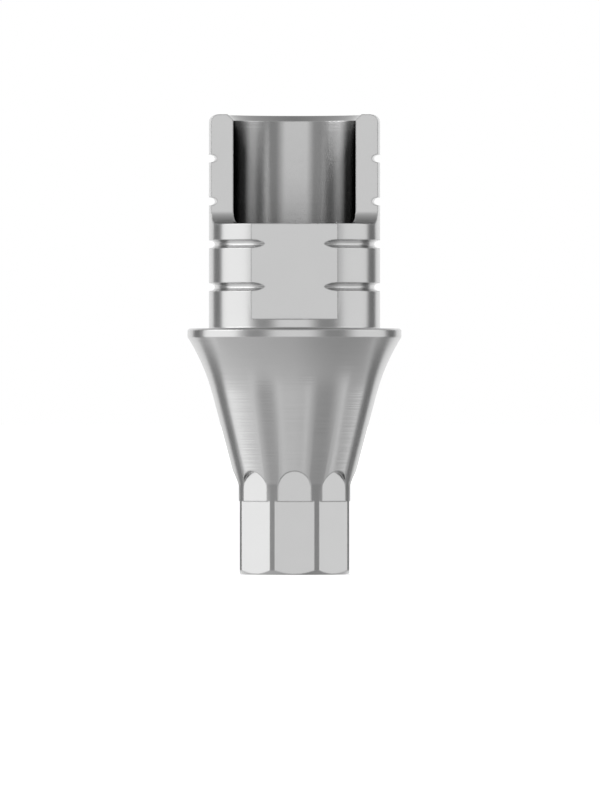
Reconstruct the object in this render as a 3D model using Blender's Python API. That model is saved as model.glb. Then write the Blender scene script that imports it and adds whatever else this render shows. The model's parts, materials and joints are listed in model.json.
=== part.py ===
"""One-piece titanium base abutment with an angled screw channel.

The body is turned from bar as one revolve, then milled: a window and a flat on the front of the
chimney, and eight index flats on the lower end. The axis is Z, the end face of the index stands
on Z = 0, and the window faces -Y. All lengths are in metres and all angles in degrees.
"""

import math

import bmesh
import bpy
from mathutils import Matrix, Vector

# Lengths along the axis, from the end face of the index up to the mouth of the chimney
INDEX_LENGTH = 0.0021
COLLAR_LENGTH = 0.00364
RIM_HEIGHT = 0.0002
CHIMNEY_LENGTH = 0.005

# Screw hole, then the walls and steps that build outwards from it
SCREW_HOLE_DIAMETER = 0.0021
INDEX_WALL = 0.00023
SCREW_SEAT_WIDTH = 0.000175
CHANNEL_STEP = 0.000275
CHIMNEY_WALL = 0.0005
SHOULDER_WIDTH = 0.0005

# Flare under the rim: how far it stands out from the cone, and its length along the cone
FLARE_OVERHANG = 0.00023
FLARE_LENGTH = 0.00145

# Screw channel below the shoulder
CHANNEL_FLOOR_DEPTH = 0.00115
CHANNEL_TAPER_ANGLE = 30.0
HEAD_BORE_LENGTH = 0.00082

# Ring grooves that hold the cement
GROOVE_PITCH = 0.001
FIRST_GROOVE_HEIGHT = 0.00097
GROOVE_WIDTH = 0.00019
GROOVE_DEPTH = 0.00014

# Window and flat on the front of the chimney
WINDOW_SILL_HEIGHT = 0.00244
WINDOW_PLANE_OFFSET = 0.00045
WINDOW_FILLET_RADIUS = 0.00034
FRONT_FLAT_DEPTH = 0.00027
FRONT_FLAT_FOOT_HEIGHT = 0.00021

# Index flats: a lower octagon, and above it a shallower run of an end mill up into the cone
FLAT_COUNT = 8
LOWER_FLAT_DEPTH = 0.00008
UPPER_FLAT_DEPTH = 0.00006
UPPER_FLAT_LENGTH = 0.00039
MILL_RUN_OUT = 0.00032
END_MILL_DIAMETER = 0.00076

# Edge breaks and small fillets
END_FACE_CHAMFER = 0.0001
TOP_EDGE_ROUNDING = 0.00018
ROOT_FILLET_RADIUS = 0.00003
RIM_CHAMFER = 0.00004
CHANNEL_MOUTH_CHAMFER = 0.00013
SCREW_HOLE_CHAMFER = 0.00005

# Radii and heights that follow from the sizes above
HOLE_RADIUS = SCREW_HOLE_DIAMETER / 2
INDEX_RADIUS = HOLE_RADIUS + INDEX_WALL + LOWER_FLAT_DEPTH
HEAD_BORE_RADIUS = HOLE_RADIUS + SCREW_SEAT_WIDTH
CHANNEL_RADIUS = HEAD_BORE_RADIUS + CHANNEL_STEP
CHIMNEY_RADIUS = CHANNEL_RADIUS + CHIMNEY_WALL
RIM_RADIUS = CHIMNEY_RADIUS + SHOULDER_WIDTH
SHOULDER_HEIGHT = INDEX_LENGTH + COLLAR_LENGTH
TOP_HEIGHT = SHOULDER_HEIGHT + CHIMNEY_LENGTH

# Fineness of the turned and the curved faces
TURN_STEPS = 80
QUARTER_STEPS = 4
FLARE_STEPS = 9
GROOVE_STEPS = 6
MILL_ARC_STEPS = 12
SMOOTH_ANGLE = 30.0

# How far a cutter reaches past the faces that it cuts through
CUTTER_MARGIN = 0.001


def clear_scene():
    for thing in list(bpy.data.objects):
        bpy.data.objects.remove(thing, do_unlink=True)


def titanium():
    material = bpy.data.materials.new("machined_titanium")
    material.use_nodes = True
    shader = material.node_tree.nodes["Principled BSDF"]
    shader.inputs["Base Color"].default_value = (0.62, 0.62, 0.61, 1.0)
    shader.inputs["Metallic"].default_value = 1.0
    shader.inputs["Roughness"].default_value = 0.2
    return material


def add_object(name, mesh_data):
    mesh = bpy.data.meshes.new(name)
    mesh_data.to_mesh(mesh)
    mesh_data.free()
    thing = bpy.data.objects.new(name, mesh)
    bpy.context.scene.collection.objects.link(thing)
    return thing


def arc(centre, radius, start, end, steps):
    """Points of an arc from one angle to another, both included."""
    points = []
    for step in range(steps + 1):
        angle = math.radians(start + (end - start) * step / steps)
        points.append(centre + radius * Vector((math.cos(angle), math.sin(angle))))
    return points


def index_points():
    """The chamfered outer edge of the end face."""
    return [
        Vector((INDEX_RADIUS - END_FACE_CHAMFER, 0.0)),
        Vector((INDEX_RADIUS, END_FACE_CHAMFER)),
    ]


def collar_points():
    """The cone runs up into a hollow arc that is tangent to it and ends at the foot of the rim."""
    cone_foot = Vector((INDEX_RADIUS, INDEX_LENGTH))
    rim_foot = Vector((RIM_RADIUS, SHOULDER_HEIGHT - RIM_HEIGHT))
    line_end = rim_foot - Vector((FLARE_OVERHANG, 0.0))
    along = (line_end - cone_foot).normalized()
    outward = Vector((along.y, -along.x))
    lift = (rim_foot - cone_foot).dot(outward)
    radius = (FLARE_LENGTH ** 2 + lift ** 2) / (2.0 * lift)
    centre = rim_foot - FLARE_LENGTH * along + (radius - lift) * outward
    to_rim = rim_foot - centre
    start = math.degrees(math.atan2(-outward.y, -outward.x))
    end = math.degrees(math.atan2(to_rim.y, to_rim.x))
    return [cone_foot] + arc(centre, radius, start, end, FLARE_STEPS)


def rim_points():
    """The chamfered upper edge of the rim, then the shoulder and the fillet at the chimney's root."""
    chamfer = [
        Vector((RIM_RADIUS, SHOULDER_HEIGHT - RIM_CHAMFER)),
        Vector((RIM_RADIUS - RIM_CHAMFER, SHOULDER_HEIGHT)),
    ]
    centre = Vector((CHIMNEY_RADIUS, SHOULDER_HEIGHT)) + Vector((1.0, 1.0)) * ROOT_FILLET_RADIUS
    return chamfer + arc(centre, ROOT_FILLET_RADIUS, 270.0, 180.0, QUARTER_STEPS)


def groove_points(height):
    """Half an ellipse cut into the chimney wall, from its lower edge to its upper edge."""
    points = []
    for step in range(GROOVE_STEPS + 1):
        angle = math.pi * step / GROOVE_STEPS
        radius = CHIMNEY_RADIUS - GROOVE_DEPTH * math.sin(angle)
        points.append(Vector((radius, height - GROOVE_WIDTH / 2 * math.cos(angle))))
    return points


def chimney_points():
    """As many grooves as the wall has room for, the rounded top edge and the chamfered mouth."""
    points = []
    height = FIRST_GROOVE_HEIGHT
    while height <= CHIMNEY_LENGTH - FIRST_GROOVE_HEIGHT:
        points += groove_points(SHOULDER_HEIGHT + height)
        height += GROOVE_PITCH
    corner = Vector((CHIMNEY_RADIUS, TOP_HEIGHT)) - Vector((1.0, 1.0)) * TOP_EDGE_ROUNDING
    points += arc(corner, TOP_EDGE_ROUNDING, 0.0, 90.0, QUARTER_STEPS)
    points.append(Vector((CHANNEL_RADIUS + CHANNEL_MOUTH_CHAMFER, TOP_HEIGHT)))
    points.append(Vector((CHANNEL_RADIUS, TOP_HEIGHT - CHANNEL_MOUTH_CHAMFER)))
    return points


def channel_points():
    """The wide channel tapers to the head bore, which ends on a flat seat round the screw hole."""
    floor = SHOULDER_HEIGHT - CHANNEL_FLOOR_DEPTH
    taper_foot = floor - CHANNEL_STEP / math.tan(math.radians(CHANNEL_TAPER_ANGLE))
    seat = taper_foot - HEAD_BORE_LENGTH
    return [
        Vector((CHANNEL_RADIUS, floor)),
        Vector((HEAD_BORE_RADIUS, taper_foot)),
        Vector((HEAD_BORE_RADIUS, seat)),
        Vector((HOLE_RADIUS, seat)),
        Vector((HOLE_RADIUS, SCREW_HOLE_CHAMFER)),
        Vector((HOLE_RADIUS + SCREW_HOLE_CHAMFER, 0.0)),
    ]


def turned_body():
    """The closed half section turned once round the axis, starting half a step off the X axis."""
    section = index_points() + collar_points() + rim_points() + chimney_points() + channel_points()
    body = bmesh.new()
    start = Vector((math.cos(math.pi / TURN_STEPS), math.sin(math.pi / TURN_STEPS), 0.0))
    ring = [body.verts.new(point.x * start + Vector((0.0, 0.0, point.y))) for point in section]
    for vertex, following in zip(ring, ring[1:] + ring[:1]):
        body.edges.new((vertex, following))
    bmesh.ops.spin(
        body,
        geom=body.verts[:] + body.edges[:],
        cent=(0.0, 0.0, 0.0),
        axis=(0.0, 0.0, 1.0),
        angle=2.0 * math.pi,
        steps=TURN_STEPS,
        use_merge=True,
    )
    bmesh.ops.recalc_face_normals(body, faces=body.faces[:])
    return add_object("abutment_body", body)


def extrude_outline(mesh_data, outline, sweep):
    """A closed prism over a flat outline."""
    face = mesh_data.faces.new([mesh_data.verts.new(point) for point in outline])
    swept = bmesh.ops.extrude_face_region(mesh_data, geom=[face])
    moved = [item for item in swept["geom"] if isinstance(item, bmesh.types.BMVert)]
    bmesh.ops.translate(mesh_data, vec=sweep, verts=moved)
    bmesh.ops.recalc_face_normals(mesh_data, faces=mesh_data.faces[:])


def window_cutter():
    """Takes off the front of the chimney down to a sill, with a fillet between sill and cut."""
    sill = SHOULDER_HEIGHT + WINDOW_SILL_HEIGHT
    top = TOP_HEIGHT + CUTTER_MARGIN
    reach = CHIMNEY_RADIUS + CUTTER_MARGIN
    plane = -WINDOW_PLANE_OFFSET
    centre = Vector((plane - WINDOW_FILLET_RADIUS, sill + WINDOW_FILLET_RADIUS))
    fillet = arc(centre, WINDOW_FILLET_RADIUS, 0.0, -90.0, 2 * QUARTER_STEPS)
    corners = [Vector((-reach, sill)), Vector((-reach, top)), Vector((plane, top))]
    cutter = bmesh.new()
    outline = [(-reach, point.x, point.y) for point in fillet + corners]
    extrude_outline(cutter, outline, Vector((2.0 * reach, 0.0, 0.0)))
    return add_object("window_cutter", cutter)


def front_flat_cutter():
    """Mills the flat from just above the shoulder up past the window's sill."""
    foot = SHOULDER_HEIGHT + FRONT_FLAT_FOOT_HEIGHT
    top = TOP_HEIGHT + CUTTER_MARGIN
    reach = CHIMNEY_RADIUS + CUTTER_MARGIN
    plane = FRONT_FLAT_DEPTH - CHIMNEY_RADIUS
    cutter = bmesh.new()
    outline = [(-reach, plane, foot), (reach, plane, foot), (reach, -reach, foot), (-reach, -reach, foot)]
    extrude_outline(cutter, outline, Vector((0.0, 0.0, top - foot)))
    return add_object("front_flat_cutter", cutter)


def lower_flats_cutter():
    """A round block with an octagonal hole, which leaves the lower part of the index."""
    top = INDEX_LENGTH - UPPER_FLAT_LENGTH
    half_turn = math.pi / FLAT_COUNT
    corner = (INDEX_RADIUS - LOWER_FLAT_DEPTH) / math.cos(half_turn)
    outer = corner + CUTTER_MARGIN
    cutter = bmesh.new()
    rings = []
    for radius, height in ((corner, -CUTTER_MARGIN), (outer, -CUTTER_MARGIN), (outer, top), (corner, top)):
        angles = [half_turn * (2 * side + 1) for side in range(FLAT_COUNT)]
        points = [(radius * math.sin(angle), radius * math.cos(angle), height) for angle in angles]
        rings.append([cutter.verts.new(point) for point in points])
    for ring, following in zip(rings, rings[1:] + rings[:1]):
        for side in range(FLAT_COUNT):
            after = (side + 1) % FLAT_COUNT
            cutter.faces.new((ring[side], ring[after], following[after], following[side]))
    bmesh.ops.recalc_face_normals(cutter, faces=cutter.faces[:])
    return add_object("lower_flats_cutter", cutter)


def upper_flats_cutter():
    """One run of an end mill over each flat, a slot with a half-round upper end."""
    mill = END_MILL_DIAMETER / 2
    floor = INDEX_RADIUS - UPPER_FLAT_DEPTH
    foot = (INDEX_LENGTH - UPPER_FLAT_LENGTH) / 2
    centre = Vector((0.0, INDEX_LENGTH + MILL_RUN_OUT - mill))
    outline = [Vector((-mill, foot)), Vector((mill, foot))]
    outline += arc(centre, mill, 0.0, 180.0, MILL_ARC_STEPS)
    cutter = bmesh.new()
    for flat in range(FLAT_COUNT):
        slot = bmesh.new()
        extrude_outline(slot, [(point.x, -floor, point.y) for point in outline], Vector((0.0, -mill, 0.0)))
        turn = Matrix.Rotation(2.0 * math.pi * flat / FLAT_COUNT, 3, "Z")
        bmesh.ops.rotate(slot, cent=(0.0, 0.0, 0.0), matrix=turn, verts=slot.verts[:])
        run = bpy.data.meshes.new("mill_run")
        slot.to_mesh(run)
        slot.free()
        cutter.from_mesh(run)
        bpy.data.meshes.remove(run)
    return add_object("upper_flats_cutter", cutter)


def cut(body, cutter):
    """Subtracts a cutter, which stays in the file as a hidden guide."""
    cutter.hide_render = True
    cutter.display_type = "WIRE"
    modifier = body.modifiers.new(cutter.name, "BOOLEAN")
    modifier.operation = "DIFFERENCE"
    modifier.solver = "EXACT"
    modifier.object = cutter


def abutment_body():
    body = turned_body()
    body.data.shade_smooth()
    body.data.set_sharp_from_angle(angle=math.radians(SMOOTH_ANGLE))
    body.data.materials.append(titanium())
    cut(body, front_flat_cutter())
    cut(body, window_cutter())
    cut(body, lower_flats_cutter())
    cut(body, upper_flats_cutter())
    return body


def main():
    clear_scene()
    abutment_body()


main()
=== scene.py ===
"""Dental abutment: the finish of a turned and milled titanium base, and its studio."""

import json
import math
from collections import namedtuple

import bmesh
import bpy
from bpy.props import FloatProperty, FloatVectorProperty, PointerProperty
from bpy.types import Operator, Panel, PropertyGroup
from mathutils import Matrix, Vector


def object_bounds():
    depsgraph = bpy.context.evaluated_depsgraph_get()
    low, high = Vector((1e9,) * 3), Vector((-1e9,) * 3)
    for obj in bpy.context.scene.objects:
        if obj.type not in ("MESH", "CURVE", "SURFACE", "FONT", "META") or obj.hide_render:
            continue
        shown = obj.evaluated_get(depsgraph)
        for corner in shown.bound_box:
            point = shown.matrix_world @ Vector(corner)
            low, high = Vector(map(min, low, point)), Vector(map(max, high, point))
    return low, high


bl_info = {
    "name": "Dental abutment",
    "version": (1, 0, 0),
    "blender": (4, 5, 0),
    "location": "View3D > Sidebar > Abutment",
    "description": "Gives a titanium base its turned, milled and bored finish and its studio",
    "category": "Object",
}

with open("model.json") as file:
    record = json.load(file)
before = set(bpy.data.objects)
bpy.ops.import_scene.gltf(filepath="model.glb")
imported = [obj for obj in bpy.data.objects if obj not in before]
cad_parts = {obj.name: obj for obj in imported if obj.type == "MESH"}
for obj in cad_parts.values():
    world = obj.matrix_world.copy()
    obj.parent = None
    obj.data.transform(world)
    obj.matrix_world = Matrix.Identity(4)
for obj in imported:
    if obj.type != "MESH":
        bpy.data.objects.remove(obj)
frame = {"nodes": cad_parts, "record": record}

CAD_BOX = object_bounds()
BODY = "abutment_body"

# Heights and offsets of the body's faces, from the record's mounts, in metres
MOUNTS = {mount["name"]: mount["pos_m"] for mount in frame["record"]["mounts"]}
SHOULDER_HEIGHT = MOUNTS["crown_shoulder"][2]
INDEX_FLAT_OFFSET = -MOUNTS["index_flat_front"][1]

# Sizes of the body that no mount gives
INDEX_RADIUS = 0.00136
FLATS_TOP_HEIGHT = 0.00243
WINDOW_PLANE_OFFSET = 0.00045
SCREW_SEAT_RADIUS = 0.0014
MOUTH_CHAMFER = 0.00013
MILL_DIAMETER = 0.00076

# Clearances for telling one face from the next: beside a face, and over the shoulder's fillet
FACE_MARGIN = 0.00001
ROOT_MARGIN = 0.00015

# Parts of a face's normal, from -1 to 1: upright and level faces by its height, faces of the
# channel and of the outside by how far it points away from the axis
PLUMB_LIMIT = 0.01
LEVEL_LIMIT = 0.9
INWARD_LIMIT = -0.1
OUTWARD_LIMIT = 0.5

# Shading of the body's edges: the angles from which they stay sharp, in general and where an edge
# runs round the chimney, which has rounded grooves
WELD_DISTANCE = 0.0000001
CORNER_ANGLE = math.radians(12)
RING_CORNER_ANGLE = math.radians(44)

# The body's second and third material. The first, the turned finish, is on all other faces.
MILLED = 1
BORED = 2

# The photograph: its frame, its scale and where the part stands in it, in pixels
PHOTO_WIDTH = 600
PHOTO_HEIGHT = 800
PIXELS_PER_METRE = 42800
AXIS_PIXEL = 294.5
BASE_PIXEL = 574.3
SENSOR_WIDTH = 36
CLIP_START = 0.03
CLIP_END = 30

# Tool marks: the noise that makes them, and how slowly a turned ring changes along its way
TURNING_DETAIL = 2.0
TURNING_NOISE_ROUGHNESS = 0.6
MILLING_DETAIL = 1.0
MILLING_NOISE_ROUGHNESS = 0.5
LONG_MARK_SHARE = 0.02

# Satin grain and smudges: their size, their noise and how much they change the metal
GRAIN_SIZE = 0.000012
GRAIN_DETAIL = 1.0
GRAIN_SHARE = 0.15
SMUDGE_SIZE = 0.0007
SMUDGE_DETAIL = 4.0
SMUDGE_SHADE = 0.03
SMUDGE_ROUGHNESS = 0.06
GRAIN_NOISE_ROUGHNESS = 0.55

# Worn edges: the likeness of the rounded to the true normal at which wear starts and is full
BEVEL_SAMPLES = 6
WEAR_START = 0.995
WEAR_FULL = 0.9
WORN_ROUGHNESS = 0.05

# The reamed channel: the turn of its gloss, and where and how far painted shade darkens its colour
# at shallow angles, for the shade on the channel's sides
QUARTER_TURN = 0.25
SHALLOW_START = 0.28
SHALLOW_FULL = 0.42
SHALLOW_PAINTED_SHADE = 0.55

# Stage, in metres
FLOOR_SIZE = 4.0
FLOOR_DROP = 0.000002
FLOOR_GLOW = 0.6
CARD_DISTANCE = 0.4
CARD_HEIGHT = 0.8
RING_SEGMENTS = 64

# Upright grey cards round the part. The azimuth is in degrees from the camera's side to the right,
# and the spread is the angle across. The even share stays grey before the card fades to white at
# its sides. Widening and lift say how much the far side widens and the grey gets lighter towards
# the top and bottom, and CARD_END_FALL how late.
UprightCard = namedtuple("UprightCard", "azimuth spread even_share widening lift")
FRONT_LEFT_CARD = UprightCard(-42.5, 44, 0.33, 0.3, 0.75)
FRONT_RIGHT_CARD = UprightCard(43.5, 52, 0.33, 1.1, 0.45)
REAR_LEFT_CARD = UprightCard(-129, 30, 0.6, 0, 2.2)
REAR_RIGHT_CARD = UprightCard(129, 30, 0.6, 0, 1.0)
REAR_SHADE_SHARE = 0.6
CARD_END_FALL = 3

# Softboxes at both sides. The rise is the height of the middle over the table. The high ones
# light the channel over its mouth.
Softbox = namedtuple("Softbox", "azimuth spread rise height")
LEFT_SOFTBOX = Softbox(-87, 54, 0, 0.3)
RIGHT_SOFTBOX = Softbox(87, 54, 0, 0.3)
HIGH_LEFT_SOFTBOX = Softbox(-87, 54, 0.25, 0.2)
HIGH_RIGHT_SOFTBOX = Softbox(87, 54, 0.25, 0.2)

# Round cards over and under the part, with the brightness of their left and right sides
LevelCard = namedtuple("LevelCard", "height reach left right")
CEILING_CARD = LevelCard(0.3, 0.85, 1.0, 1.0)
TABLE_CARD = LevelCard(-0.3, 0.95, 1.06, 0.66)


class FinishSettings(PropertyGroup):
    """Colour and surface of the titanium"""

    colour: FloatVectorProperty(
        name="Titanium",
        description="Colour of the bare metal",
        subtype="COLOR",
        size=3,
        min=0,
        max=1,
        default=(0.578, 0.578, 0.578),
    )
    turned_roughness: FloatProperty(
        name="Turned roughness",
        description="Roughness of the outside, which is turned and polished",
        subtype="FACTOR",
        min=0,
        max=1,
        default=0.2,
    )
    milled_roughness: FloatProperty(
        name="Milled roughness",
        description="Roughness of the flats and of the window's cut",
        subtype="FACTOR",
        min=0,
        max=1,
        default=0.22,
    )
    bored_roughness: FloatProperty(
        name="Bored roughness",
        description="Roughness of the screw channel",
        subtype="FACTOR",
        min=0,
        max=1,
        default=0.235,
    )
    bored_stretch: FloatProperty(
        name="Bored stretch",
        description="How far the reamer's rings stretch the channel's gloss along the channel",
        subtype="FACTOR",
        min=0,
        max=1,
        default=1.0,
    )
    mark_pitch: FloatProperty(
        name="Mark pitch",
        description="Distance from one tool mark to the next",
        subtype="DISTANCE",
        unit="LENGTH",
        precision=6,
        min=0.00001,
        default=0.00006,
    )
    mark_depth: FloatProperty(
        name="Mark depth",
        description="Depth of a tool mark",
        subtype="DISTANCE",
        unit="LENGTH",
        precision=7,
        min=0,
        default=0.000002,
    )
    edge_radius: FloatProperty(
        name="Edge radius",
        description="Radius to which tumbling has worn the sharp edges",
        subtype="DISTANCE",
        unit="LENGTH",
        precision=6,
        min=0,
        default=0.00004,
    )


class StudioSettings(PropertyGroup):
    """Camera, softboxes and cards"""

    camera_distance: FloatProperty(
        name="Camera distance",
        description="From the camera to the part's axis",
        subtype="DISTANCE",
        unit="LENGTH",
        min=0.05,
        default=0.35,
    )
    left_brightness: FloatProperty(
        name="Left softbox",
        description="Brightness that the left softbox adds to the white surround",
        min=0,
        default=0.385,
    )
    right_brightness: FloatProperty(
        name="Right softbox",
        description="Brightness that the right softbox adds to the white surround",
        min=0,
        default=0.04,
    )
    high_left_brightness: FloatProperty(
        name="High left softbox",
        description="Brightness that the high left softbox adds to the white surround",
        min=0,
        default=2.0,
    )
    high_right_brightness: FloatProperty(
        name="High right softbox",
        description="Brightness that the high right softbox adds to the white surround",
        min=0,
        default=0.7,
    )
    left_card_shade: FloatProperty(
        name="Left card",
        description="Brightness of the grey card between the camera and the left softbox",
        subtype="FACTOR",
        min=0,
        max=1,
        default=0.4,
    )
    right_card_shade: FloatProperty(
        name="Right card",
        description="Brightness of the grey card between the camera and the right softbox",
        subtype="FACTOR",
        min=0,
        max=1,
        default=0.355,
    )
    ceiling_shade: FloatProperty(
        name="Ceiling",
        description="Brightness of the middle of the ceiling card",
        subtype="FACTOR",
        min=0,
        max=1,
        default=0.3,
    )
    table_shade: FloatProperty(
        name="Table",
        description="Brightness of the middle of the card below the part",
        subtype="FACTOR",
        min=0,
        max=1,
        default=0.5,
    )
    floor_colour: FloatVectorProperty(
        name="Floor",
        description="Colour of the floor",
        subtype="COLOR",
        size=3,
        min=0,
        max=1,
        default=(0.8, 0.8, 0.8),
    )


def add(tree, kind, inputs=None, **settings):
    """Adds a node, sets it up and fills its inputs with values or with other nodes' results."""
    node = tree.nodes.new(kind)
    for name, value in settings.items():
        setattr(node, name, value)
    for name, value in (inputs or {}).items():
        if isinstance(value, bpy.types.NodeSocket):
            tree.links.new(value, node.inputs[name])
        else:
            node.inputs[name].default_value = value
    return node


def maths(tree, operation, *values):
    """Adds a Math node over the values and returns its result."""
    return add(tree, "ShaderNodeMath", dict(enumerate(values)), operation=operation).outputs[0]


def vector_maths(tree, operation, *values):
    """Adds a Vector Math node over the values and returns the operation's result."""
    node = add(tree, "ShaderNodeVectorMath", dict(enumerate(values)), operation=operation)
    return node.outputs["Value" if operation in {"DOT_PRODUCT", "LENGTH"} else "Vector"]


def all_of(tree, *tests):
    """Multiplies tests that are 0 or 1, so that the result is 1 where all of them hold."""
    result = tests[0]
    for test in tests[1:]:
        result = maths(tree, "MULTIPLY", result, test)
    return result


def blend_over(tree, value, start, end, first, last):
    """Runs from the first to the last result as the value goes from start to end."""
    node = add(tree, "ShaderNodeMapRange", {"Value": value, "From Min": start, "From Max": end})
    node.inputs["To Min"].default_value = first
    node.inputs["To Max"].default_value = last
    return node.outputs["Result"]


def noise(tree, place, detail, roughness, scale=1.0):
    """Adds a Noise Texture node and returns its value from 0 to 1."""
    inputs = {"Vector": place, "Scale": scale, "Detail": detail, "Roughness": roughness}
    return add(tree, "ShaderNodeTexNoise", inputs).outputs["Fac"]


def new_group(name, kind, inputs, outputs):
    """Makes a node group with the named sockets, and its input and output nodes."""
    tree = bpy.data.node_groups.new(name, kind)
    for direction, sockets in (("INPUT", inputs), ("OUTPUT", outputs)):
        for socket_name, socket_type in sockets.items():
            tree.interface.new_socket(socket_name, in_out=direction, socket_type=socket_type)
    return tree, tree.nodes.new("NodeGroupInput"), tree.nodes.new("NodeGroupOutput")


def corner_edges(tree):
    """Edges of the body that stay sharp: real corners, not the steps of a groove or a rounding."""
    angle = add(tree, "GeometryNodeInputMeshEdgeAngle").outputs["Unsigned Angle"]
    ends = add(tree, "GeometryNodeInputMeshEdgeVertices")
    first = add(tree, "ShaderNodeSeparateXYZ", {0: ends.outputs["Position 1"]}).outputs["Z"]
    second = add(tree, "ShaderNodeSeparateXYZ", {0: ends.outputs["Position 2"]}).outputs["Z"]
    rise = maths(tree, "ABSOLUTE", maths(tree, "SUBTRACT", first, second))
    level = maths(tree, "LESS_THAN", rise, WELD_DISTANCE)
    on_chimney = maths(tree, "GREATER_THAN", first, SHOULDER_HEIGHT - WELD_DISTANCE)
    on_ring = all_of(tree, level, on_chimney)
    extra_angle = RING_CORNER_ANGLE - CORNER_ANGLE
    limit = maths(tree, "MULTIPLY_ADD", on_ring, extra_angle, CORNER_ANGLE)
    return maths(tree, "GREATER_THAN", angle, limit)


def finish_faces(tree):
    """Two tests for each face of the body: whether it is milled and whether it is bored."""
    position = add(tree, "GeometryNodeInputPosition").outputs[0]
    normal = add(tree, "GeometryNodeInputNormal").outputs[0]
    place = add(tree, "ShaderNodeSeparateXYZ", {0: position})
    facing = add(tree, "ShaderNodeSeparateXYZ", {0: normal})
    from_axis = vector_maths(tree, "MULTIPLY", position, (1, 1, 0))
    radius = vector_maths(tree, "LENGTH", from_axis)
    offset = vector_maths(tree, "DOT_PRODUCT", from_axis, normal)
    outward = maths(tree, "DIVIDE", offset, radius)

    inward = maths(tree, "LESS_THAN", outward, INWARD_LIMIT)
    level = maths(tree, "GREATER_THAN", facing.outputs["Z"], LEVEL_LIMIT)
    near_axis = maths(tree, "LESS_THAN", radius, SCREW_SEAT_RADIUS)
    under_mouth = maths(tree, "LESS_THAN", place.outputs["Z"], CAD_BOX[1].z - MOUTH_CHAMFER)
    bored = maths(tree, "MAXIMUM", inward, all_of(tree, level, near_axis))
    bored = all_of(tree, bored, under_mouth)

    tilt = maths(tree, "ABSOLUTE", facing.outputs["Z"])
    upright = maths(tree, "LESS_THAN", tilt, PLUMB_LIMIT)
    on_index = maths(tree, "LESS_THAN", place.outputs["Z"], FLATS_TOP_HEIGHT)
    under_round = (INDEX_FLAT_OFFSET + INDEX_RADIUS) / 2 + FACE_MARGIN
    flat = maths(tree, "LESS_THAN", offset, under_round)
    outside = maths(tree, "GREATER_THAN", outward, OUTWARD_LIMIT)
    index_flat = all_of(tree, upright, on_index, flat, outside)

    turn = maths(tree, "ABSOLUTE", facing.outputs["X"])
    not_sideways = maths(tree, "LESS_THAN", turn, PLUMB_LIMIT)
    in_front = maths(tree, "LESS_THAN", place.outputs["Y"], FACE_MARGIN - WINDOW_PLANE_OFFSET)
    on_chimney = maths(tree, "GREATER_THAN", place.outputs["Z"], SHOULDER_HEIGHT + ROOT_MARGIN)
    front_cut = all_of(tree, not_sideways, in_front, on_chimney)
    return maths(tree, "MAXIMUM", index_flat, front_cut), bored


def surface_tree():
    """Geometry nodes that weld the body, shade it smooth between corners and sort its faces."""
    geometry = {"Geometry": "NodeSocketGeometry"}
    tree, source, result = new_group("body_surface", "GeometryNodeTree", geometry, geometry)
    mesh = source.outputs["Geometry"]

    def step(kind, inputs, **settings):
        nonlocal mesh
        mesh = add(tree, kind, {"Geometry": mesh, **inputs}, **settings).outputs["Geometry"]

    step("GeometryNodeRemoveAttribute", {"Name": "custom_normal"})
    step("GeometryNodeMergeByDistance", {"Distance": WELD_DISTANCE})
    step("GeometryNodeSetShadeSmooth", {"Shade Smooth": True}, domain="FACE")
    sharp = {"Selection": corner_edges(tree), "Shade Smooth": False}
    step("GeometryNodeSetShadeSmooth", sharp, domain="EDGE")
    milled, bored = finish_faces(tree)
    step("GeometryNodeSetMaterialIndex", {"Selection": milled, "Material Index": MILLED})
    step("GeometryNodeSetMaterialIndex", {"Selection": bored, "Material Index": BORED})
    tree.links.new(mesh, result.inputs["Geometry"])
    return tree


def turning_marks_group():
    """Shader group: fine rings left by the lathe, as a height from 0 to 1."""
    tree, source, result = new_group(
        "turning_marks",
        "ShaderNodeTree",
        {"Pitch": "NodeSocketFloat"},
        {"Height": "NodeSocketFloat"},
    )
    position = add(tree, "ShaderNodeTexCoord").outputs["Object"]
    place = add(tree, "ShaderNodeSeparateXYZ", {0: position})
    radius = vector_maths(tree, "LENGTH", vector_maths(tree, "MULTIPLY", position, (1, 1, 0)))
    along = maths(tree, "ADD", place.outputs["Z"], radius)
    across = maths(tree, "MULTIPLY", LONG_MARK_SHARE, place.outputs["X"])
    depth = maths(tree, "MULTIPLY", LONG_MARK_SHARE, place.outputs["Y"])
    path = add(tree, "ShaderNodeCombineXYZ", {"X": across, "Y": depth, "Z": along}).outputs[0]
    scale = maths(tree, "DIVIDE", 1.0, source.outputs["Pitch"])
    rings = noise(tree, path, TURNING_DETAIL, TURNING_NOISE_ROUGHNESS, scale)
    tree.links.new(rings, result.inputs["Height"])
    return tree


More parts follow.
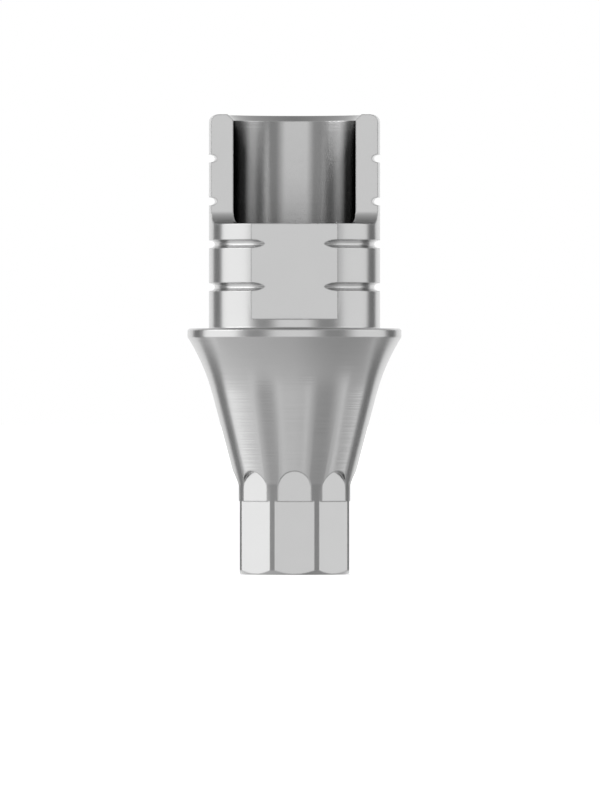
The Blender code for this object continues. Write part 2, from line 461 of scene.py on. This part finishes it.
def milling_marks_group():
    """Shader group: the shallow arcs that an end mill leaves on a flat, as a height from 0 to 1."""
    tree, source, result = new_group(
        "milling_marks",
        "ShaderNodeTree",
        {"Pitch": "NodeSocketFloat", "Mill Diameter": "NodeSocketFloat"},
        {"Height": "NodeSocketFloat"},
    )
    position = add(tree, "ShaderNodeTexCoord").outputs["Object"]
    normal = add(tree, "ShaderNodeNewGeometry").outputs["True Normal"]
    place = add(tree, "ShaderNodeSeparateXYZ", {0: position})
    facing = add(tree, "ShaderNodeSeparateXYZ", {0: normal})
    sideways = vector_maths(tree, "CROSS_PRODUCT", normal, (0, 0, 1))
    across = vector_maths(tree, "DOT_PRODUCT", position, sideways)
    squared = maths(tree, "MULTIPLY", across, across)
    bow = maths(tree, "DIVIDE", squared, source.outputs["Mill Diameter"])
    level_run = maths(tree, "MULTIPLY", place.outputs["Y"], facing.outputs["Z"])
    along = maths(tree, "ADD", maths(tree, "ADD", place.outputs["Z"], level_run), bow)
    turns = maths(tree, "DIVIDE", along, source.outputs["Pitch"])
    spread = maths(tree, "DIVIDE", across, source.outputs["Mill Diameter"])
    path = add(tree, "ShaderNodeCombineXYZ", {"X": spread, "Z": turns}).outputs[0]
    arcs = noise(tree, path, MILLING_DETAIL, MILLING_NOISE_ROUGHNESS)
    tree.links.new(arcs, result.inputs["Height"])
    return tree


def fine_grain_group():
    """Shader group: the satin's fine grain and faint smudges of handling, each from 0 to 1."""
    tree, source, result = new_group(
        "fine_grain",
        "ShaderNodeTree",
        {"Grain Size": "NodeSocketFloat", "Smudge Size": "NodeSocketFloat"},
        {"Grain": "NodeSocketFloat", "Smudge": "NodeSocketFloat"},
    )
    position = add(tree, "ShaderNodeTexCoord").outputs["Object"]
    for name, detail in (("Grain", GRAIN_DETAIL), ("Smudge", SMUDGE_DETAIL)):
        scale = maths(tree, "DIVIDE", 1.0, source.outputs[name + " Size"])
        spots = noise(tree, position, detail, GRAIN_NOISE_ROUGHNESS, scale)
        tree.links.new(spots, result.inputs[name])
    return tree


def worn_edge_group():
    """Shader group: a normal that rounds the sharp edges, and the wear there from 0 to 1."""
    tree, source, result = new_group(
        "worn_edge",
        "ShaderNodeTree",
        {"Radius": "NodeSocketFloat"},
        {"Normal": "NodeSocketVector", "Wear": "NodeSocketFloat"},
    )
    radius = source.outputs["Radius"]
    bevel = add(tree, "ShaderNodeBevel", {"Radius": radius}, samples=BEVEL_SAMPLES)
    rounded = bevel.outputs["Normal"]
    true_normal = add(tree, "ShaderNodeNewGeometry").outputs["Normal"]
    likeness = vector_maths(tree, "DOT_PRODUCT", rounded, true_normal)
    wear = blend_over(tree, likeness, WEAR_START, WEAR_FULL, 0.0, 1.0)
    tree.links.new(rounded, result.inputs["Normal"])
    tree.links.new(wear, result.inputs["Wear"])
    return tree


def group_node(tree, group, **inputs):
    """Places a shader group in a material and sets its inputs."""
    node = add(tree, "ShaderNodeGroup", node_tree=group)
    for name, value in inputs.items():
        node.inputs[name.replace("_", " ").title()].default_value = value
    return node


def titanium(name, settings, groups, marks, roughness):
    """Titanium with one kind of tool marks, satin grain, smudges and softly worn edges."""
    material = bpy.data.materials.new(name)
    material.use_nodes = True
    tree = material.node_tree
    shader = tree.nodes["Principled BSDF"]
    grain = group_node(tree, groups["grain"], grain_size=GRAIN_SIZE, smudge_size=SMUDGE_SIZE)
    edge = group_node(tree, groups["edge"], radius=settings.edge_radius)

    colour = add(tree, "ShaderNodeMix", {"Factor": grain.outputs["Smudge"]}, data_type="RGBA")
    shades = {"A": 1 - SMUDGE_SHADE, "B": 1 + SMUDGE_SHADE}
    for socket in colour.inputs:
        if socket.type == "RGBA":
            shade = shades[socket.name]
            socket.default_value = [value * shade for value in settings.colour] + [1]
    mixed = next(socket for socket in colour.outputs if socket.type == "RGBA")
    tree.links.new(mixed, shader.inputs["Base Color"])

    smudge = grain.outputs["Smudge"]
    least = roughness - SMUDGE_ROUGHNESS / 2
    rough = maths(tree, "MULTIPLY_ADD", smudge, SMUDGE_ROUGHNESS, least)
    rough = maths(tree, "MULTIPLY_ADD", edge.outputs["Wear"], WORN_ROUGHNESS, rough)
    tree.links.new(rough, shader.inputs["Roughness"])

    height = maths(tree, "MULTIPLY_ADD", grain.outputs["Grain"], GRAIN_SHARE, marks(tree))
    bump = add(
        tree,
        "ShaderNodeBump",
        {"Strength": 1.0, "Distance": settings.mark_depth, "Height": height},
    )
    tree.links.new(edge.outputs["Normal"], bump.inputs["Normal"])
    tree.links.new(bump.outputs["Normal"], shader.inputs["Normal"])
    shader.inputs["Metallic"].default_value = 1.0
    return material


def ream_and_paint_shade(material, stretch):
    """Stretches a bore's gloss across the reamer's rings and paints shade into its colour at
    shallow angles, for the shade on the bore's sides.
    """
    tree = material.node_tree
    shader = tree.nodes["Principled BSDF"]
    around = add(tree, "ShaderNodeTangent", direction_type="RADIAL", axis="Z")
    tree.links.new(around.outputs["Tangent"], shader.inputs["Tangent"])
    shader.inputs["Anisotropic"].default_value = stretch
    shader.inputs["Anisotropic Rotation"].default_value = QUARTER_TURN
    shader.inputs["Specular Tint"].default_value = (0, 0, 0, 1)
    # Painted shade: the colour is darkened where the bore is seen at shallow angles, as the shade
    # on its sides.
    facing = add(tree, "ShaderNodeLayerWeight").outputs["Facing"]
    painted_shade_share = blend_over(tree, facing, SHALLOW_START, SHALLOW_FULL, 1.0, SHALLOW_PAINTED_SHADE)
    colour = shader.inputs["Base Color"].links[0].from_socket
    shade_painted_colour = add(tree, "ShaderNodeVectorMath", {0: colour, "Scale": painted_shade_share}, operation="SCALE")
    tree.links.new(shade_painted_colour.outputs["Vector"], shader.inputs["Base Color"])


class ABUTMENT_OT_body(Operator):
    """Shade the body smooth and give its faces their turned, milled and bored finish"""

    bl_idname = "abutment.body"
    bl_label = "Finish the body"

    def execute(self, context):
        settings = context.scene.abutment_finish
        groups = {"grain": fine_grain_group(), "edge": worn_edge_group()}
        turning = turning_marks_group()
        milling = milling_marks_group()

        def rings(tree):
            return group_node(tree, turning, pitch=settings.mark_pitch).outputs["Height"]

        def arcs(tree):
            sizes = {"pitch": settings.mark_pitch, "mill_diameter": MILL_DIAMETER}
            return group_node(tree, milling, **sizes).outputs["Height"]

        body = frame["nodes"][BODY]
        body.data.materials.clear()
        for name, marks, roughness in (
            ("turned_titanium", rings, settings.turned_roughness),
            ("milled_titanium", arcs, settings.milled_roughness),
            ("bored_titanium", rings, settings.bored_roughness),
        ):
            body.data.materials.append(titanium(name, settings, groups, marks, roughness))
        # The bored finish gets painted shade in its colour at shallow angles, besides its stretched
        # gloss.
        ream_and_paint_shade(body.data.materials[BORED], settings.bored_stretch)
        surface = body.modifiers.new("surface", "NODES")
        surface.node_group = surface_tree()
        normals = body.modifiers.new("face_normals", "WEIGHTED_NORMAL")
        normals.keep_sharp = True
        return {"FINISHED"}


def plain_mesh(name, build):
    """Makes an object from the shape that build fills and links it."""
    mesh = bpy.data.meshes.new(name)
    shape = bmesh.new()
    build(shape)
    shape.to_mesh(mesh)
    shape.free()
    stand = bpy.data.objects.new(name, mesh)
    bpy.context.scene.collection.objects.link(stand)
    return stand


def glow_material(name, make_strength):
    """A card's material. make_strength builds its glow from the card's own coordinates."""
    material = bpy.data.materials.new(name)
    material.use_nodes = True
    tree = material.node_tree
    tree.nodes.clear()
    position = add(tree, "ShaderNodeTexCoord").outputs["Object"]
    glow = add(tree, "ShaderNodeEmission", {"Strength": make_strength(tree, position)})
    output = tree.nodes.new("ShaderNodeOutputMaterial")
    tree.links.new(glow.outputs[0], output.inputs["Surface"])
    return material


def hide_from_camera(thing):
    """Leaves a card or a lamp in the metal's reflections and out of the picture."""
    thing.visible_camera = False


def face_the_part(thing, azimuth, rise=0):
    """Stands a card or a lamp at its place round the part and turns its face to the axis."""
    turn = math.radians(azimuth)
    outward = Vector((math.sin(turn), -math.cos(turn), 0))
    thing.location = outward * CARD_DISTANCE + Vector((0, 0, rise))
    thing.rotation_euler = outward.to_track_quat("Z", "Y").to_euler()


def upright_card(name, plan, shade):
    """A tall grey card that faces the part and fades to white at both sides."""
    half_width = CARD_DISTANCE * math.tan(math.radians(plan.spread / 2))
    half_height = CARD_HEIGHT / 2
    far_side = math.copysign(1, plan.azimuth)

    def build(shape):
        bmesh.ops.create_grid(shape, x_segments=1, y_segments=2, size=1)
        for corner in shape.verts:
            if corner.co.x * far_side > 0:
                corner.co.x *= 1 + plan.widening * abs(corner.co.y)
            corner.co.x *= half_width
            corner.co.y *= half_height

    def strength(tree, position):
        place = add(tree, "ShaderNodeSeparateXYZ", {0: position})
        far = maths(tree, "MULTIPLY", place.outputs["X"], far_side)
        near = maths(tree, "MULTIPLY", place.outputs["X"], -far_side)
        along = maths(tree, "ABSOLUTE", place.outputs["Y"])
        widened = blend_over(tree, along, 0.0, half_height, 1.0, 1 + plan.widening)
        across = maths(tree, "MAXIMUM", maths(tree, "DIVIDE", far, widened), near)
        end_share = maths(tree, "DIVIDE", along, half_height)
        end_share = maths(tree, "POWER", end_share, CARD_END_FALL)
        grey = maths(tree, "MULTIPLY_ADD", end_share, plan.lift, shade)
        grey = maths(tree, "MINIMUM", grey, 1.0)
        fade = blend_over(tree, across, half_width * plan.even_share, half_width, 0.0, 1.0)
        missing = maths(tree, "SUBTRACT", 1.0, grey)
        return maths(tree, "MULTIPLY_ADD", missing, fade, grey)

    card = plain_mesh(name, build)
    face_the_part(card, plan.azimuth)
    card.data.materials.append(glow_material(name, strength))
    hide_from_camera(card)


def level_card(name, plan, shade):
    """A round card over or under the part that fades into the white surround at its rim."""

    def build(shape):
        circle = {"segments": RING_SEGMENTS, "radius": plan.reach}
        bmesh.ops.create_circle(shape, cap_ends=True, **circle)

    def strength(tree, position):
        radius = vector_maths(tree, "LENGTH", position)
        place = add(tree, "ShaderNodeSeparateXYZ", {0: position})
        side = maths(tree, "DIVIDE", place.outputs["X"], radius)
        grey = blend_over(tree, radius, 0.0, plan.reach, shade, 1.0)
        on_left = blend_over(tree, side, -1.0, 0.0, plan.left, 1.0)
        on_right = blend_over(tree, side, 0.0, 1.0, 1.0, plan.right)
        grey = maths(tree, "MULTIPLY", grey, on_left)
        return maths(tree, "MULTIPLY", grey, on_right)

    card = plain_mesh(name, build)
    card.location.z = plan.height
    card.data.materials.append(glow_material(name, strength))
    hide_from_camera(card)


def softbox(name, plan, brightness):
    """A softbox at one side of the part, as bright as it should look in the metal."""
    lamp = bpy.data.lights.new(name, "AREA")
    lamp.shape = "RECTANGLE"
    lamp.size = 2 * CARD_DISTANCE * math.tan(math.radians(plan.spread / 2))
    lamp.size_y = plan.height
    lamp.energy = brightness * math.pi * lamp.size * lamp.size_y
    stand = bpy.data.objects.new(name, lamp)
    face_the_part(stand, plan.azimuth, plan.rise)
    bpy.context.scene.collection.objects.link(stand)
    hide_from_camera(stand)


def floor_material(colour):
    """A pale floor that the camera sees as white, with the part's shadow on it."""
    material = bpy.data.materials.new("pale_floor")
    material.use_nodes = True
    tree = material.node_tree
    tree.nodes.clear()
    rays = add(tree, "ShaderNodeLightPath").outputs
    seen = maths(tree, "ADD", rays["Is Camera Ray"], rays["Is Glossy Ray"])
    seen = maths(tree, "ADD", seen, rays["Is Transmission Ray"])
    strength = maths(tree, "MULTIPLY", seen, FLOOR_GLOW)
    diffuse = add(tree, "ShaderNodeBsdfDiffuse", {"Color": (*colour, 1)})
    glow = add(tree, "ShaderNodeEmission", {"Strength": strength})
    both = add(tree, "ShaderNodeAddShader", {0: diffuse.outputs[0], 1: glow.outputs[0]})
    output = tree.nodes.new("ShaderNodeOutputMaterial")
    tree.links.new(both.outputs[0], output.inputs["Surface"])
    return material


def make_floor(colour):
    """The pale floor. The metal mirrors the grey table card in its place."""

    def build(shape):
        bmesh.ops.create_grid(shape, x_segments=1, y_segments=1, size=FLOOR_SIZE / 2)

    floor = plain_mesh("floor", build)
    floor.location.z = -FLOOR_DROP
    floor.data.materials.append(floor_material(colour))
    floor.visible_glossy = False


def make_surround():
    """The plain white surround of the studio."""
    world = bpy.data.worlds.new("white_surround")
    world.use_nodes = True
    background = world.node_tree.nodes["Background"]
    background.inputs["Color"].default_value = (1, 1, 1, 1)
    background.inputs["Strength"].default_value = 1.0
    bpy.context.scene.world = world


def make_camera(distance):
    """A long lens level with the part, framed as in the photograph."""
    lens = bpy.data.cameras.new("camera")
    lens.sensor_width = SENSOR_WIDTH
    lens.lens = SENSOR_WIDTH * distance * PIXELS_PER_METRE / PHOTO_HEIGHT
    lens.clip_start = CLIP_START
    lens.clip_end = CLIP_END
    camera = bpy.data.objects.new("camera", lens)
    side = (PHOTO_WIDTH / 2 - AXIS_PIXEL) / PIXELS_PER_METRE
    height = (BASE_PIXEL - PHOTO_HEIGHT / 2) / PIXELS_PER_METRE
    camera.location = (side, -distance, height)
    camera.rotation_euler = (math.radians(90), 0, 0)
    bpy.context.scene.collection.objects.link(camera)
    bpy.context.scene.camera = camera


class ABUTMENT_OT_stage(Operator):
    """Set the floor, the white surround, the grey cards, the softboxes and the camera"""

    bl_idname = "abutment.stage"
    bl_label = "Set the stage"

    def execute(self, context):
        settings = context.scene.abutment_studio
        make_floor(settings.floor_colour)
        make_surround()
        left_shade = settings.left_card_shade
        right_shade = settings.right_card_shade
        upright_card("front_left_card", FRONT_LEFT_CARD, left_shade)
        upright_card("front_right_card", FRONT_RIGHT_CARD, right_shade)
        upright_card("rear_left_card", REAR_LEFT_CARD, left_shade * REAR_SHADE_SHARE)
        upright_card("rear_right_card", REAR_RIGHT_CARD, right_shade * REAR_SHADE_SHARE)
        level_card("ceiling_card", CEILING_CARD, settings.ceiling_shade)
        level_card("table_card", TABLE_CARD, settings.table_shade)
        softbox("left_softbox", LEFT_SOFTBOX, settings.left_brightness)
        softbox("right_softbox", RIGHT_SOFTBOX, settings.right_brightness)
        softbox("high_left_softbox", HIGH_LEFT_SOFTBOX, settings.high_left_brightness)
        softbox("high_right_softbox", HIGH_RIGHT_SOFTBOX, settings.high_right_brightness)
        make_camera(settings.camera_distance)
        context.scene.view_settings.view_transform = "Standard"
        return {"FINISHED"}


class ABUTMENT_PT_panel(Panel):
    """Lists the abutment's operators and settings in the 3D view's sidebar"""

    bl_idname = "ABUTMENT_PT_panel"
    bl_label = "Dental abutment"
    bl_space_type = "VIEW_3D"
    bl_region_type = "UI"
    bl_category = "Abutment"

    def draw(self, context):
        for settings, operator in (
            (context.scene.abutment_finish, ABUTMENT_OT_body),
            (context.scene.abutment_studio, ABUTMENT_OT_stage),
        ):
            box = self.layout.box()
            for name in settings.__annotations__:
                box.prop(settings, name)
            box.operator(operator.bl_idname)


CLASSES = (
    FinishSettings,
    StudioSettings,
    ABUTMENT_OT_body,
    ABUTMENT_OT_stage,
    ABUTMENT_PT_panel,
)


def register():
    for cls in CLASSES:
        bpy.utils.register_class(cls)
    bpy.types.Scene.abutment_finish = PointerProperty(type=FinishSettings)
    bpy.types.Scene.abutment_studio = PointerProperty(type=StudioSettings)


def unregister():
    del bpy.types.Scene.abutment_studio
    del bpy.types.Scene.abutment_finish
    for cls in reversed(CLASSES):
        bpy.utils.unregister_class(cls)


def main():
    register()
    bpy.ops.abutment.body()
    bpy.ops.abutment.stage()


if __name__ == "__main__":
    main()
